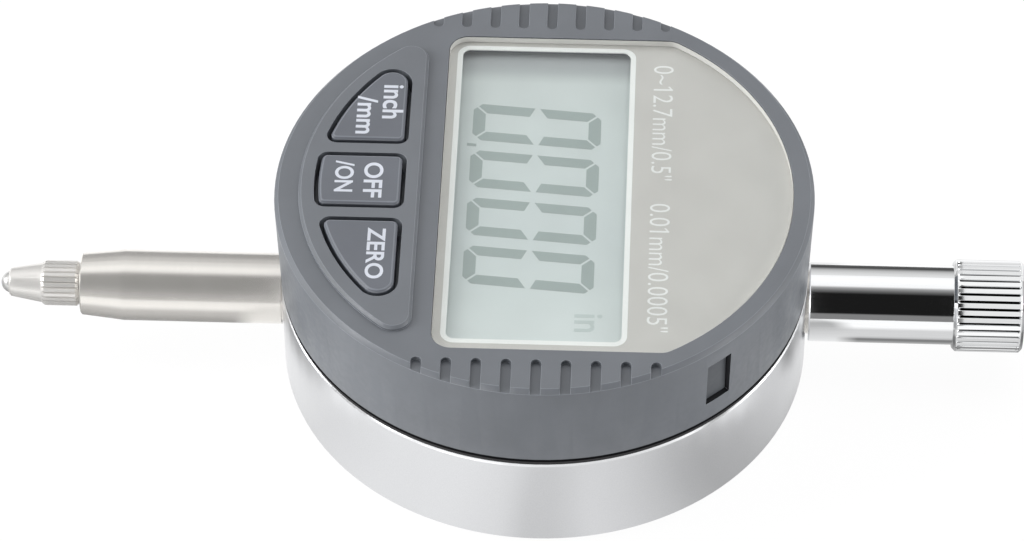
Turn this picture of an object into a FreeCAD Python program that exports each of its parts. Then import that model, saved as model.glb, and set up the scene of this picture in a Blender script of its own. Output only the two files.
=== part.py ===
import FreeCAD, Part
import math
import os

# Digital indicator lying on its back. Millimetres.
# Origin: centre of the flat back. +Z comes out of the display, -Y points along the stem
# towards the contact point, +Y along the dust tube, +X is the display's right-hand side.

V = FreeCAD.Vector

# Case
case_radius = 29.5
plan = case_radius / 29.5      # sizes across the case are given for this radius and follow it
rear_height = 12.8            # metal rear housing, back plane to its rim
seal_height = 0.5             # black line between the two housings
front_height = 11.9           # plastic front housing, seam to face
rear_wall = 2.6 * plan
front_wall = 2.2 * plan
face_thick = 1.8
rear_rim_chamfer = 0.3
back_edge_chamfer = 0.5
front_flare = 0.35            # front housing's wall leans out by this from the seam to its widest line
bezel_height = 0.55           # steep band round the face, as deep as the rim grooves
bezel_inset = 0.45
seal_inset = 0.1              # how far the seal lies behind the outer wall
seal_width = 1.6
edge_break = 0.15             # small chamfers on turned ends
thread_end_gap = 0.3          # hole left past the end of a screw or stud
nest_clearance = 0.05         # fixed pieces that sit in a hole of their own shape

# Back
cover_thick = 1.4
cover_lip = 1.9 * plan        # metal ring left outside the back cover
flange_thick = 1.4            # ring that carries the back cover
flange_width = 3.0 * plan
cover_screw_count = 4
cover_screw_inset = 2.0 * plan  # from the cover's edge to the screws' circle
cover_screw_radius = 0.8
cover_head_radius = 1.5
cover_head_sink = 0.1         # screw heads below the cover's face
cover_head_height = 0.8       # underside of the heads, from the cover's face
cover_recess_depth = 0.45
recess_reach = 0.6            # cross recess, as a share of the head's radius
recess_width = 0.45
cover_screw_length = 3.4
cover_boss_radius = 2.0 * plan
cover_boss_height = 4.2

# Spindle line
axis_share = 0.625            # height of the spindle line, as a share of the rear housing's
travel = 12.7
running_clearance = 0.03
spindle_radius = 2.0
stem_radius = 4.0
stem_reach = 22.76            # case wall to the stem's end
stem_taper_length = 4.8
stem_tip_radius = 3.5
stem_root_radius = 3.6
stem_shoulder_gap = 0.03      # stem's shoulder to the case wall
stem_bore_radius = 2.75
bush_length = 8.0
boss_half_width = 11.0 * plan
boss_depth = 4.5 * plan       # bearing bosses, inwards from the cavity wall

# Contact point
contact_gap = 0.2
contact_knurl_radius = 2.55
contact_knurl_length = 3.9
contact_knurl_depth = 0.22
contact_relief = 0.08         # step from the knurl's root to the cone
contact_teeth = 26
contact_chamfer = 0.35
contact_cone_length = 3.75
contact_nose_radius = 1.6
contact_nose_round = 0.2
contact_ball_radius = 1.25
contact_ball_reach = 0.95
contact_stud_radius = 1.25
contact_stud_length = 5.0

# Dust tube and cap
tube_radius = 4.45
tube_gap = 0.2
tube_bore_radius = 3.2
tube_length = 16.15
tube_engagement = 1.6         # length of tube inside the cap
nose_length = 5.3
upper_bush_radius = 3.6
cap_radius = 5.17
cap_length = 7.9
cap_end_wall = 1.7
cap_chamfer = 0.4
cap_knurl_fade = 0.3          # length over which each groove runs out at both ends
cap_knurl_depth = 0.42
knurl_land = 0.6              # flat top of a tooth, as a share of the pitch
cap_teeth = 38
cap_clearance = 0.04
spindle_top_gap = 8.0         # free space above the spindle inside the cap
end_chamfer = 0.3             # ends of the spindle and the tube

# Carriage, guide and spring
carriage_half_width = 6.0 * plan
carriage_end_gap = 3.7 * plan  # carriage to the lower boss with the spindle right out
carriage_drop = 3.8           # underside of the carriage below the spindle line
spring_space = 14.4 * plan    # carriage to the upper boss with the spindle pushed in
carriage_chamfer = 0.4
carriage_screw_radius = 1.0
hex_socket_radius = 0.5
hex_socket_depth = 1.2
scale_thick = 0.8
scale_margin = 1.0
sensing_gap = 0.2
reader_thick = 0.8
reader_margin = 0.5           # reader board outside the carriage's sides
guide_pin_radius = 1.0
guide_pin_seat = 3.0
rail_gap = 1.0
rail_width = 3.5 * plan
rail_height = 6.4
rail_socket_depth = 1.0
slot_end_clearance = 0.3
spring_wire_radius = 0.3
spring_mean_radius = 2.85
spring_turns = 6
spring_steps = 10             # straight pieces in one turn of the wire
spring_sides = 5
spring_end_gap = 0.02

# Circuit board and what stands on it
board_thick = 1.0
board_lift = 1.0              # board above the rear housing's rim
board_clearance = 0.8 * plan  # board edge to the front housing's wall
pillar_radius = 2.5 * plan
pillar_inset = 2.35 * plan    # from the cavity wall to the pillars' circle
lower_pillar_angle = -34.4
upper_pillar_angle = 53.8
screw_radius = 1.0
screw_clearance = 0.15
screw_head_radius = 1.9
screw_head_height = 1.4
screw_head_clearance = 0.1
screw_bite = 6.0
screw_recess_depth = 0.7
front_boss_radius = 2.4 * plan
chip_size = 7.0 * plan
chip_height = 1.2
crystal_radius = 1.0
crystal_length = 6.0 * plan
crystal_x = 7.0 * plan

# Display
lens_thick = 0.8
lens_recess = 0.1
lens_edge_y = -11.5 * plan
lens_half_x = 23.8 * plan
lens_rim = 1.85 * plan        # plastic left between the lens and the face's edge
lens_corner = 2.2 * plan
mask_thick = 0.15
window_low_y = -9.95 * plan
window_high_y = 9.04 * plan
window_half_x = 22.1 * plan
window_centre_x = -0.44 * plan
window_corner = 0.9 * plan
frame_width = 0.6 * plan
sill_gap = 0.5 * plan         # housing opening outside the printed window
lcd_overlap = 0.75 * plan     # glass outside the housing opening
lcd_glass_thick = 1.0
lcd_ledge = 2.4 * plan        # contact ledge along each long edge of the rear glass
reflector_thick = 0.2
holder_wall = 1.0 * plan
strip_width = 1.4 * plan
strip_end_gap = 3.0 * plan

# Keys
plateau_height = 0.6
plateau_edge_y = -13.7 * plan
plateau_rim = 2.25 * plan     # from the face's edge to the raised panel
plateau_corner = 2.0 * plan
plateau_bevel = 0.3
key_row_x = -0.25 * plan
key_row_edge_y = -15.35 * plan
key_rim = 1.7 * plan          # from the raised panel's edge to the key holes
key_gap = 0.5 * plan
key_bar = 1.45 * plan         # plastic between neighbouring keys
power_half_width = 4.2 * plan
key_corner = 1.2 * plan
key_sharp_corner = 2.25 * plan
key_proud = 0.2
key_bevel = 0.25
key_wall = 0.6 * plan
key_lip = 0.5 * plan
key_lip_thick = 1.0
key_travel = 0.5
key_post_radius = 1.6 * plan
dome_clearance = 0.1          # left under the post when the key is fully down
mat_thick = 1.0
mat_edge_gap = 0.5            # board edge to the mat
mat_hole_clearance = 0.2      # round the front housing's bosses
dome_base_radius = 3.0 * plan
dome_top_radius = 2.1 * plan

# Rim grooves
groove_count = 9
groove_pitch = 3.225 * plan
groove_width = 1.15 * plan
groove_gap = 1.4 * plan       # from the lens to the grooves' round inner ends

# Data port
port_angle = 41.5
port_width = 3.3
port_rise = 3.0               # port above the seam
port_height = 6.2
port_depth = 0.45
plug_thick = 1.9
plug_clearance = 0.12
socket_depth = 4.0
socket_width = 4.2
socket_wall = 1.0
socket_blade = 0.6

# Battery
cell_radius = 5.8 * plan
cell_height = 5.4
cell_clearance = 0.5
cell_chamfer = 0.3
holder_ring = 1.1
holder_roof = 1.0
lid_lip = 0.7                 # lid outside the battery's bore
lid_neck_height = 0.8
lid_neck_clearance = 0.2
coin_slot_width = 1.6
coin_slot_depth = 0.7
coin_slot_length = 9.0 * plan
seal_ring_height = 0.5
seal_ring_width = 0.65
contact_strip_thick = 0.4
contact_strip_radius = 4.0 * plan
contact_strip_width = 2.0
battery_side_gap = 1.9 * plan # carriage to battery holder

# Heights worked out from the sizes above
axis_height = rear_height * axis_share
seam_z = rear_height + seal_height
face_z = seam_z + front_height
top_inner_z = face_z - face_thick
bezel_z = face_z - bezel_height
plateau_z = face_z + plateau_height
key_top_z = plateau_z + key_proud
board_low_z = rear_height + board_lift
board_z = board_low_z + board_thick
scale_top_z = board_low_z - reader_thick - sensing_gap
carriage_top_z = scale_top_z - scale_thick
carriage_bottom_z = axis_height - carriage_drop
sill_z = face_z - lens_recess - lens_thick - mask_thick
lcd_rear_z = top_inner_z - 2 * lcd_glass_thick
port_low_z = seam_z + port_rise

# Radii
cavity_radius = case_radius - rear_wall
front_inner = case_radius - front_wall
front_radius = case_radius + front_flare
face_radius = front_radius - bezel_inset
cover_radius = case_radius - cover_lip
opening_radius = cover_radius - flange_width
cover_screw_circle = cover_radius - cover_screw_inset
pillar_circle = cavity_radius - pillar_inset
board_radius = front_inner - board_clearance
lens_arc = face_radius - lens_rim
plateau_arc = face_radius - plateau_rim
key_arc = plateau_arc - key_rim
spindle_bore = spindle_radius + running_clearance
holder_bore = cell_radius + cell_clearance
holder_radius = holder_bore + holder_ring
lid_radius = holder_bore + lid_lip

# Places along the spindle line
boss_inner_y = cavity_radius - boss_depth
stem_seat_y = -(case_radius + stem_shoulder_gap)
stem_end_y = -(case_radius + stem_reach)
contact_y = stem_end_y - contact_gap
tube_start_y = case_radius + tube_gap
cap_start_y = tube_start_y + tube_length
cap_end_y = cap_start_y + cap_length
cap_roof_y = cap_end_y - cap_end_wall
spindle_top_y = cap_roof_y - spindle_top_gap
carriage_front_y = -(boss_inner_y - travel - carriage_end_gap)
carriage_rear_y = boss_inner_y - spring_space
pin_y = (carriage_front_y + carriage_rear_y) / 2
rail_x = carriage_half_width + rail_gap
battery_x = -(carriage_half_width + battery_side_gap + holder_radius)

# Display places
lcd_centre_y = (window_low_y + window_high_y) / 2
opening_half_x = window_half_x + sill_gap
opening_half_y = (window_high_y - window_low_y) / 2 + sill_gap
lcd_half_x = opening_half_x + lcd_overlap
lcd_half_y = opening_half_y + lcd_overlap


def disc(radius, low, high, x=0.0, y=0.0):
    return Part.makeCylinder(radius, high - low, V(x, y, low))


def ring(outer, inner, low, high, x=0.0, y=0.0):
    return disc(outer, low, high, x, y).cut(disc(inner, low, high, x, y))


def shaft(radius, start, end):
    return Part.makeCylinder(radius, end - start, V(0, start, axis_height), V(0, 1, 0))


def cross_bar(radius, start, end, y):
    """Cylinder along X that crosses the spindle line at y."""
    return Part.makeCylinder(radius, end - start, V(start, y, axis_height), V(1, 0, 0))


def sleeve(outer, inner, start, end):
    return shaft(outer, start, end).cut(shaft(inner, start, end))


def block(x0, x1, y0, y1, z0, z1):
    return Part.makeBox(x1 - x0, y1 - y0, z1 - z0, V(x0, y0, z0))


def turned(profile):
    """Solid of revolution about the spindle line from (y, radius) points."""
    points = [V(0, y, axis_height + radius) for y, radius in profile]
    face = Part.Face(Part.makePolygon(points + points[:1]))
    return face.revolve(V(0, 0, axis_height), V(0, 1, 0), 360)


def spun(profile):
    """Solid of revolution about the case's own axis from (radius, z) points."""
    points = [V(radius, 0, z) for radius, z in profile]
    face = Part.Face(Part.makePolygon(points + points[:1]))
    return face.revolve(V(0, 0, 0), V(0, 0, 1), 360)


def upright_edges(solid):
    found = []
    for edge in solid.Edges:
        box = edge.BoundBox
        if box.XLength < 1e-4 and box.YLength < 1e-4:
            found.append(edge)
    return found


def edges_at(solid, z):
    found = []
    for edge in solid.Edges:
        box = edge.BoundBox
        if abs(box.ZMin - z) < 1e-4 and abs(box.ZMax - z) < 1e-4:
            found.append(edge)
    return found


def rounded_block(x0, x1, y0, y1, z0, z1, corner):
    solid = block(x0, x1, y0, y1, z0, z1)
    return solid.makeFillet(corner, upright_edges(solid))


def polar(radius, angle):
    turn = math.radians(angle)
    return radius * math.cos(turn), radius * math.sin(turn)


def pillar_places():
    angles = [lower_pillar_angle, upper_pillar_angle, 180 - upper_pillar_angle, 180 - lower_pillar_angle]
    return [polar(pillar_circle, angle) for angle in angles]


def cover_screw_places():
    return [polar(cover_screw_circle, 360 * i / cover_screw_count) for i in range(cover_screw_count)]


def face_segment(edge_y, half_x, arc, corner, low, high, side):
    """D-shaped prism: a circle cut off at edge_y and at both sides. side is +1 for the part above edge_y."""
    far = arc + 1
    if side > 0:
        keep = block(-half_x, half_x, edge_y, far, low, high)
    else:
        keep = block(-half_x, half_x, -far, edge_y, low, high)
    solid = keep.common(disc(arc, low, high))
    return solid.makeFillet(corner, upright_edges(solid))


def lens_shape(shrink, low, high):
    return face_segment(lens_edge_y + shrink, lens_half_x - shrink, lens_arc - shrink,
                        lens_corner - shrink, low, high, 1)


def key_shape(name, grow, low, high):
    """Outline of one key, grown or shrunk from its hole."""
    arc = key_arc + grow
    top = key_row_edge_y + grow
    far = arc + 1
    if name == "power":
        half = power_half_width + grow
        keep = block(key_row_x - half, key_row_x + half, -far, top, low, high)
    elif name == "zero":
        inner = key_row_x + power_half_width + key_bar - grow
        keep = block(inner, far, -far, top, low, high)
    else:
        inner = key_row_x - power_half_width - key_bar + grow
        keep = block(-far, inner, -far, top, low, high)
    solid = keep.common(disc(arc, low, high, key_row_x))
    edges = upright_edges(solid)
    if name == "power":
        return solid.makeFillet(key_corner + grow, edges)
    edges.sort(key=lambda edge: abs(edge.Vertexes[0].X - key_row_x))
    solid = solid.makeFillet(key_corner + grow, edges[:-1])
    outer = max(upright_edges(solid), key=lambda edge: abs(edge.Vertexes[0].X - key_row_x))
    return solid.makeFillet(key_sharp_corner + grow, [outer])


def bearing_bosses(low, high):
    """The two blocks inside the rear housing that carry the stem and the upper bush."""
    blocks = []
    for side in (-1, 1):
        near = boss_inner_y * side
        far = (case_radius - rear_wall / 2) * side
        blocks.append(block(-boss_half_width, boss_half_width, min(near, far), max(near, far), low, high))
    solid = blocks[0].fuse(blocks[1])
    return solid.common(disc(case_radius - rear_wall / 2, low, high))


def guide_rail_bar():
    """Bar between the bearing bosses; its ends sit in sockets."""
    reach = boss_inner_y + rail_socket_depth
    half = rail_height / 2
    return block(rail_x, rail_x + rail_width, -reach, reach, axis_height - half, axis_height + half)


def rear_housing():
    flange_top = cover_thick + flange_thick
    shell = spun([
        (opening_radius, cover_thick),
        (cover_radius + nest_clearance, cover_thick),
        (cover_radius + nest_clearance, 0),
        (case_radius - back_edge_chamfer, 0),
        (case_radius, back_edge_chamfer),
        (case_radius, rear_height - rear_rim_chamfer),
        (case_radius - rear_rim_chamfer, rear_height),
        (cavity_radius, rear_height),
        (cavity_radius, flange_top),
        (opening_radius, flange_top),
    ])
    shell = shell.fuse(bearing_bosses(flange_top, rear_height))
    inside = disc(cavity_radius + rear_wall / 2, 0, board_low_z)
    for x, y in pillar_places():
        shell = shell.fuse(disc(pillar_radius, cover_thick, board_low_z, x, y).common(inside))
    for x, y in cover_screw_places():
        if abs(x) > boss_half_width:
            shell = shell.fuse(disc(cover_boss_radius, cover_thick, cover_boss_height, x, y).common(inside))
    for x, y in pillar_places():
        shell = shell.cut(disc(screw_radius + screw_clearance, 0, board_low_z, x, y))
        seat = screw_head_radius + screw_head_clearance
        head_top = cover_thick + screw_head_clearance + screw_head_height
        shell = shell.cut(disc(seat, cover_thick, head_top, x, y))
    for x, y in cover_screw_places():
        shell = shell.cut(disc(cover_screw_radius, 0, cover_screw_length + thread_end_gap, x, y))
    shell = shell.cut(shaft(stem_root_radius, -case_radius - 1, 0))
    shell = shell.cut(shaft(upper_bush_radius, 0, case_radius + 1))
    shell = shell.cut(guide_rail_bar())
    return shell.removeSplitter()


def back_cover():
    plate = disc(cover_radius, 0, cover_thick)
    plate = plate.cut(disc(lid_radius + nest_clearance, 0, cover_thick, battery_x))
    for x, y in cover_screw_places():
        plate = plate.cut(disc(cover_screw_radius + screw_clearance, 0, cover_thick, x, y))
        plate = plate.cut(disc(cover_head_radius + screw_head_clearance, 0, cover_head_height, x, y))
    return plate


def cross_recess(head_radius, depth, x, y, low):
    """Cross slot in a screw head whose free face looks down at z = low."""
    reach = head_radius * recess_reach
    half = recess_width / 2
    first = block(x - reach, x + reach, y - half, y + half, low, low + depth)
    second = block(x - half, x + half, y - reach, y + reach, low, low + depth)
    return first.fuse(second)


def cover_screws():
    screws = []
    for x, y in cover_screw_places():
        head = disc(cover_head_radius, cover_head_sink, cover_head_height, x, y)
        screw = head.fuse(disc(cover_screw_radius, cover_head_height, cover_screw_length, x, y))
        screws.append(screw.cut(cross_recess(cover_head_radius, cover_recess_depth, x, y, cover_head_sink)))
    return Part.Compound(screws)


def housing_screws():
    screws = []
    low = cover_thick + screw_head_clearance
    head_top = low + screw_head_height
    for x, y in pillar_places():
        head = disc(screw_head_radius, low, head_top, x, y)
        screw = head.fuse(disc(screw_radius, head_top, board_z + screw_bite, x, y))
        screws.append(screw.cut(cross_recess(screw_head_radius, screw_recess_depth, x, y, low)))
    return Part.Compound(screws)


def case_seal():
    outer = case_radius - seal_inset
    return ring(outer, outer - seal_width, rear_height, seam_z)


def port_tool(width, low, high, near, far):
    """Radial block through the wall at the data port's angle."""
    solid = Part.makeBox(far - near, width, high - low, V(near, -width / 2, low))
    solid.rotate(V(0, 0, 0), V(0, 0, 1), port_angle)
    return solid


def rim_grooves():
    """Finger grooves in rows on both sides of the face, open at the rim."""
    inner = lens_half_x + groove_gap
    tools = []
    for side in (-1, 1):
        for i in range(groove_count):
            y = (i - (groove_count - 1) / 2) * groove_pitch
            start = (inner + groove_width / 2) * side
            end = (front_radius + 1) * side
            half = groove_width / 2
            slot = block(min(start, end), max(start, end), y - half, y + half, bezel_z, face_z + 1)
            tools.append(slot.fuse(disc(half, bezel_z, face_z + 1, start, y)))
    return Part.Compound(tools)


def display_block(half_x, half_y, low, high):
    """Block centred on the display window."""
    x = window_centre_x
    y = (window_low_y + window_high_y) / 2
    return block(x - half_x, x + half_x, y - half_y, y + half_y, low, high)


def front_housing():
    shell = spun([
        (front_inner, seam_z),
        (case_radius, seam_z),
        (front_radius, bezel_z),
        (face_radius, face_z),
        (0, face_z),
        (0, top_inner_z),
        (front_inner, top_inner_z),
    ])
    plateau = face_segment(plateau_edge_y, case_radius, plateau_arc, plateau_corner, face_z, plateau_z, -1)
    plateau = plateau.makeChamfer(plateau_bevel, edges_at(plateau, plateau_z))
    shell = shell.fuse(plateau)
    for x, y in pillar_places():
        shell = shell.fuse(disc(front_boss_radius, board_z, top_inner_z, x, y))
    shell = shell.cut(lens_shape(0, sill_z, face_z + 1))
    shell = shell.cut(display_block(opening_half_x, opening_half_y, top_inner_z - 1, sill_z + 1))
    for name in ("inch_mm", "power", "zero"):
        shell = shell.cut(key_shape(name, 0, top_inner_z - 1, key_top_z + 1))
    shell = shell.cut(rim_grooves())
    port_top_z = port_low_z + port_height
    shell = shell.cut(port_tool(port_width, port_low_z, port_top_z, front_inner - 1, front_radius + 1))
    for x, y in pillar_places():
        shell = shell.cut(disc(screw_radius, board_z, board_z + screw_bite + thread_end_gap, x, y))
    return shell.removeSplitter()


def display_lens():
    return lens_shape(nest_clearance, sill_z + mask_thick, face_z - lens_recess)


def window_cut(grow, low, high):
    half_x = window_half_x + grow
    return rounded_block(window_centre_x - half_x, window_centre_x + half_x,
                         window_low_y - grow, window_high_y + grow, low, high, window_corner + grow)


def face_mask():
    plate = lens_shape(nest_clearance, sill_z, sill_z + mask_thick)
    return plate.cut(window_cut(frame_width, sill_z, sill_z + mask_thick))


def window_frame():
    outer = window_cut(frame_width, sill_z, sill_z + mask_thick)
    return outer.cut(window_cut(0, sill_z, sill_z + mask_thick))


def lcd_plate(inset_y, low, high):
    return display_block(lcd_half_x, lcd_half_y - inset_y, low, high)


def lcd_front_glass():
    return lcd_plate(0, lcd_rear_z + lcd_glass_thick, top_inner_z)


def lcd_rear_glass():
    return lcd_plate(0, lcd_rear_z, lcd_rear_z + lcd_glass_thick)


def lcd_reflector():
    return lcd_plate(lcd_ledge + strip_width, lcd_rear_z - reflector_thick, lcd_rear_z)


def lcd_holder():
    """Open frame from the board up to the rear glass, with a cross bar that carries the reflector."""
    low = board_z
    frame = lcd_plate(0, low, lcd_rear_z)
    inner_half_x = lcd_half_x - holder_wall
    hollow = display_block(inner_half_x, lcd_half_y - holder_wall, low, lcd_rear_z)
    shelf_top = lcd_rear_z - reflector_thick
    shelf = display_block(inner_half_x, lcd_half_y - lcd_ledge - strip_width, shelf_top - holder_wall, shelf_top)
    seat = lcd_plate(lcd_ledge + strip_width, lcd_rear_z - reflector_thick, lcd_rear_z)
    return frame.cut(hollow).fuse(shelf).cut(seat).removeSplitter()


def contact_strips():
    strips = []
    half = lcd_half_x - strip_end_gap
    for side in (-1, 1):
        y = lcd_centre_y + side * (lcd_half_y - lcd_ledge - strip_width / 2)
        strips.append(block(window_centre_x - half, window_centre_x + half,
                            y - strip_width / 2, y + strip_width / 2, board_z, lcd_rear_z))
    return Part.Compound(strips)


def main_board():
    board = disc(board_radius, board_low_z, board_z)
    for x, y in pillar_places():
        board = board.cut(disc(screw_radius + screw_clearance, board_low_z, board_z, x, y))
    return board


def reader_board():
    low = board_low_z - reader_thick
    front = carriage_front_y - travel
    half = carriage_half_width + reader_margin
    return block(-half, half, front, carriage_rear_y, low, board_low_z)


def measuring_chip():
    half = chip_size / 2
    return block(-half, half, lcd_centre_y - half, lcd_centre_y + half, board_z, board_z + chip_height)


def quartz_crystal():
    centre = V(crystal_x, lcd_centre_y - crystal_length / 2, board_z + crystal_radius)
    return Part.makeCylinder(crystal_radius, crystal_length, centre, V(0, 1, 0))


def key_centre(name):
    middle = key_shape(name, -key_gap, 0, 1).Solids[0].CenterOfMass
    return middle.x, middle.y


def key_mat():
    """Rubber mat with one dome under each key."""
    edge = key_row_edge_y + key_lip
    reach = board_radius - mat_edge_gap
    top = board_z + mat_thick
    mat = block(-reach, reach, -reach, edge, board_z, top).common(disc(reach, board_z, top))
    for name in ("inch_mm", "power", "zero"):
        x, y = key_centre(name)
        mat = mat.fuse(Part.makeCone(dome_base_radius, dome_top_radius, dome_height(), V(x, y, top)))
    for x, y in pillar_places():
        mat = mat.cut(disc(front_boss_radius + mat_hole_clearance, board_z, top, x, y))
    return mat


def dome_height():
    return (top_inner_z - board_z - mat_thick) / 2


def key(name):
    lip_low = top_inner_z - key_lip_thick
    body = key_shape(name, -key_gap, top_inner_z, key_top_z)
    body = body.makeChamfer(key_bevel, edges_at(body, key_top_z))
    solid = body.fuse(key_shape(name, key_lip, lip_low, top_inner_z))
    hollow = key_shape(name, -key_gap - key_wall, lip_low, key_top_z - key_wall)
    solid = solid.cut(hollow)
    x, y = key_centre(name)
    post_end = board_z + mat_thick + dome_height() + key_travel + dome_clearance
    solid = solid.fuse(disc(key_post_radius, post_end, key_top_z - key_wall, x, y))
    return solid.removeSplitter()


def port_plug():
    width = port_width - 2 * plug_clearance
    outer = case_radius - port_depth
    return port_tool(width, port_low_z + plug_clearance, port_low_z + port_height - plug_clearance,
                     outer - plug_thick, outer)


def port_socket():
    outer = case_radius - port_depth - plug_thick - plug_clearance
    top = port_low_z + port_height
    housing = port_tool(socket_width, board_z, top, outer - socket_depth, outer)
    floor = outer - socket_depth + socket_wall
    throat = port_tool(port_width, port_low_z, top - socket_wall, floor, outer)
    blade = port_tool(socket_blade, port_low_z, top - socket_wall, floor, outer - socket_wall)
    return housing.cut(throat).fuse(blade).removeSplitter()


def battery_lid():
    neck = holder_bore - lid_neck_clearance
    lid = disc(lid_radius, 0, cover_thick, battery_x)
    lid = lid.fuse(disc(neck, cover_thick, cover_thick + lid_neck_height, battery_x))
    half = coin_slot_length / 2
    slot = block(battery_x - half, battery_x + half,
                 -coin_slot_width / 2, coin_slot_width / 2, 0, coin_slot_depth)
    return lid.cut(slot)


def battery_seal():
    inner = holder_bore - lid_neck_clearance
    return ring(inner + seal_ring_width, inner, cover_thick, cover_thick + seal_ring_height, battery_x)


def battery_holder():
    cell_top = cover_thick + lid_neck_height + cell_height
    roof = cell_top + contact_strip_thick
    cup = disc(holder_radius, cover_thick, roof + holder_roof, battery_x)
    cup = cup.cut(disc(holder_bore, cover_thick, roof, battery_x))
    rebate = holder_bore - lid_neck_clearance + seal_ring_width
    cup = cup.cut(disc(rebate, cover_thick, cover_thick + seal_ring_height, battery_x))
    return cup.cut(block(battery_x - contact_strip_width / 2, battery_x + contact_strip_width / 2,
                         -contact_strip_thick / 2, contact_strip_thick / 2, roof, roof + holder_roof))


def battery_cell():
    low = cover_thick + lid_neck_height
    can = disc(cell_radius, low, low + cell_height, battery_x)
    return can.makeChamfer(cell_chamfer, edges_at(can, low) + edges_at(can, low + cell_height))


def battery_contact():
    low = cover_thick + lid_neck_height + cell_height
    spring = disc(contact_strip_radius, low, low + contact_strip_thick, battery_x)
    half = contact_strip_width / 2
    tab = block(battery_x - half, battery_x + half, -contact_strip_thick / 2, contact_strip_thick / 2,
                low + contact_strip_thick, board_low_z)
    return spring.fuse(tab)


def stem():
    taper_start = stem_end_y + stem_taper_length
    return turned([
        (stem_end_y, stem_bore_radius),
        (stem_end_y, stem_tip_radius - edge_break),
        (stem_end_y + edge_break, stem_tip_radius),
        (taper_start, stem_radius),
        (stem_seat_y, stem_radius),
        (stem_seat_y, stem_root_radius),
        (-boss_inner_y, stem_root_radius),
        (-boss_inner_y, stem_bore_radius),
    ])


def outer_bush():
    return sleeve(stem_bore_radius, spindle_bore, stem_end_y, stem_end_y + bush_length)


def inner_bush():
    return sleeve(stem_bore_radius, spindle_bore, -boss_inner_y - bush_length, -boss_inner_y)


def upper_bush():
    body = shaft(upper_bush_radius, boss_inner_y, tube_start_y)
    body = body.fuse(shaft(tube_bore_radius, tube_start_y, tube_start_y + nose_length))
    return body.cut(shaft(spindle_bore, boss_inner_y, tube_start_y + nose_length))


def spindle():
    rod = shaft(spindle_radius, contact_y, spindle_top_y)
    rod = rod.cut(shaft(contact_stud_radius, contact_y, contact_y + contact_stud_length))
    top = [edge for edge in rod.Edges if abs(edge.BoundBox.YMin - spindle_top_y) < 1e-4]
    return rod.makeChamfer(end_chamfer, top)


def skin(rings):
    """Solid skinned over rings of corners, with a flat face at each end."""
    faces = [Part.Face(Part.makePolygon(end + end[:1])) for end in (rings[0], rings[-1])]
    for low, high in zip(rings, rings[1:]):
        for k in range(len(low)):
            a, b, c, d = low[k - 1], low[k], high[k], high[k - 1]
            faces.append(Part.Face(Part.makePolygon([a, b, c, a])))
            faces.append(Part.Face(Part.makePolygon([a, c, d, a])))
    shell = Part.Shell(faces)
    shell.sewShape()
    solid = Part.Solid(shell)
    if solid.Volume < 0:
        solid.reverse()
    return solid


def knurled_bar(stations, teeth):
    """Bar with flat-topped straight teeth on the spindle line, from (y, ridge radius, root radius) stations."""
    pitch = 2 * math.pi / teeth
    rings = []
    for y, ridge, root in stations:
        corners = []
        for i in range(teeth):
            middle = pitch * i
            places = [(middle - pitch * knurl_land / 2, ridge), (middle + pitch * knurl_land / 2, ridge),
                      (middle + pitch / 2, root)]
            for turn, reach in places:
                corners.append(V(reach * math.cos(turn), y, axis_height + reach * math.sin(turn)))
        rings.append(corners)
    return skin(rings).removeSplitter()


def contact_point():
    knurl_end = contact_y - contact_knurl_length
    cone_start = knurl_end - contact_chamfer
    nose = cone_start - contact_cone_length
    root = contact_knurl_radius - contact_knurl_depth
    end_radius = contact_knurl_radius - contact_chamfer
    grip = knurled_bar([
        (contact_y, end_radius, end_radius),
        (contact_y - contact_chamfer, contact_knurl_radius, root),
        (knurl_end, contact_knurl_radius, root),
        (cone_start, root, root),
    ], contact_teeth)
    cone = turned([
        (contact_y - contact_chamfer, 0),
        (contact_y - contact_chamfer, root - contact_relief),
        (cone_start, root - contact_relief),
        (nose + contact_nose_round, contact_nose_radius),
        (nose, contact_nose_radius - contact_nose_round),
        (nose, 0),
    ])
    stud_end = contact_y + contact_stud_length - thread_end_gap
    stud = shaft(contact_stud_radius, contact_y - contact_chamfer, stud_end)
    return grip.fuse(cone).fuse(stud).cut(contact_ball()).removeSplitter()


def contact_ball():
    nose = contact_y - contact_knurl_length - contact_chamfer - contact_cone_length
    centre = nose - contact_ball_reach + contact_ball_radius
    return Part.makeSphere(contact_ball_radius, V(0, centre, axis_height))


def carriage():
    half = carriage_half_width
    solid = block(-half, half, carriage_front_y, carriage_rear_y, carriage_bottom_z, carriage_top_z)
    solid = solid.makeChamfer(carriage_chamfer, edges_at(solid, carriage_bottom_z))
    solid = solid.cut(shaft(spindle_radius, carriage_front_y, carriage_rear_y))
    pin = cross_bar(guide_pin_radius, guide_pin_seat, half, pin_y)
    screw = cross_bar(carriage_screw_radius, -half, 0, pin_y)
    return solid.cut(pin).cut(screw)


def carriage_screw():
    head = -carriage_half_width
    screw = cross_bar(carriage_screw_radius, head, -spindle_radius, pin_y)
    return screw.cut(cross_bar(hex_socket_radius, head, head + hex_socket_depth, pin_y))


def guide_pin():
    return cross_bar(guide_pin_radius, guide_pin_seat, rail_x + rail_width, pin_y)


def guide_rail():
    """Slotted bar that stops the spindle from turning and sets the ends of its travel."""
    half = guide_pin_radius + running_clearance
    near = pin_y - travel - slot_end_clearance
    far = pin_y + slot_end_clearance
    slot = block(rail_x, rail_x + rail_width, near, far, axis_height - half, axis_height + half)
    for y in (near, far):
        slot = slot.fuse(cross_bar(half, rail_x, rail_x + rail_width, y))
    return guide_rail_bar().cut(slot)


def scale_plate():
    half = carriage_half_width - scale_margin
    inset = scale_margin / 4
    return block(-half, half, carriage_front_y + inset, carriage_rear_y - inset, carriage_top_z, scale_top_z)


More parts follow.
